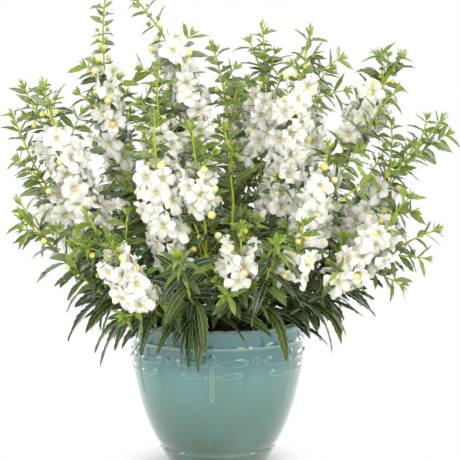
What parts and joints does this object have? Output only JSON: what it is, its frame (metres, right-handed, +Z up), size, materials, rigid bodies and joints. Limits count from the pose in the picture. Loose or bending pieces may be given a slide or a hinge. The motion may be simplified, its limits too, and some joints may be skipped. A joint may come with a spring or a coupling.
{
  "type": "potted angelonia",
  "caption": "White angelonia in a turquoise glazed pot: leafy stems with upright flower spikes growing from soil in a round pot with a raised band of winged figures.",
  "frame": {"origin": "centre of the pot's flat foot, on the surface that the pot stands on", "axes": "+Z up along the pot's axis; the front of the plant faces -Y; +X is to the right as seen from the front"},
  "size_m": [0.5017, 0.4094, 0.5512],
  "materials": {
    "glaze": "glossy turquoise glaze, paler where it thins over edges",
    "soil": "dark peat and bark potting mix",
    "foliage": "satin dark green leaves on yellow-green stems",
    "bloom": "matt white petals with cream throats"
  },
  "bodies": {
    "root": {"pot": "glaze", "soil": "soil", "leafy_stem_01": "foliage", "leafy_stem_02": "foliage", "leafy_stem_03": "foliage", "leafy_stem_04": "foliage", "leafy_stem_05": "foliage", "leafy_stem_06": "foliage", "leafy_stem_07": "foliage", "leafy_stem_08": "foliage", "leafy_stem_09": "foliage", "leafy_stem_10": "foliage", "leafy_stem_11": "foliage", "leafy_stem_12": "foliage", "leafy_stem_13": "foliage", "leafy_stem_14": "foliage", "leafy_stem_15": "foliage", "leafy_stem_16": "foliage", "leafy_stem_17": "foliage", "leafy_stem_18": "foliage", "leafy_stem_19": "foliage", "leafy_stem_20": "foliage", "leafy_stem_21": "foliage", "leafy_stem_22": "foliage", "leafy_stem_23": "foliage", "leafy_stem_24": "foliage", "leafy_stem_25": "foliage", "leafy_stem_26": "foliage", "leafy_stem_27": "foliage", "leafy_stem_28": "foliage", "leafy_stem_29": "foliage", "leafy_stem_30": "foliage", "leafy_stem_31": "foliage", "leafy_stem_32": "foliage", "flower_spike_01": "bloom", "flower_spike_02": "bloom", "flower_spike_04": "bloom", "flower_spike_05": "bloom", "flower_spike_06": "bloom", "flower_spike_07": "bloom", "flower_spike_08": "bloom", "flower_spike_10": "bloom", "flower_spike_11": "bloom", "flower_spike_12": "bloom", "flower_spike_14": "bloom", "flower_spike_15": "bloom", "flower_spike_16": "bloom", "flower_spike_18": "bloom", "flower_spike_19": "bloom", "flower_spike_20": "bloom", "flower_spike_21": "bloom", "flower_spike_22": "bloom", "flower_spike_26": "bloom", "flower_spike_27": "bloom", "flower_spike_28": "bloom", "flower_spike_29": "bloom", "flower_spike_30": "bloom", "flower_spike_31": "bloom", "flower_spike_32": "bloom"}
  },
  "joints": []
}
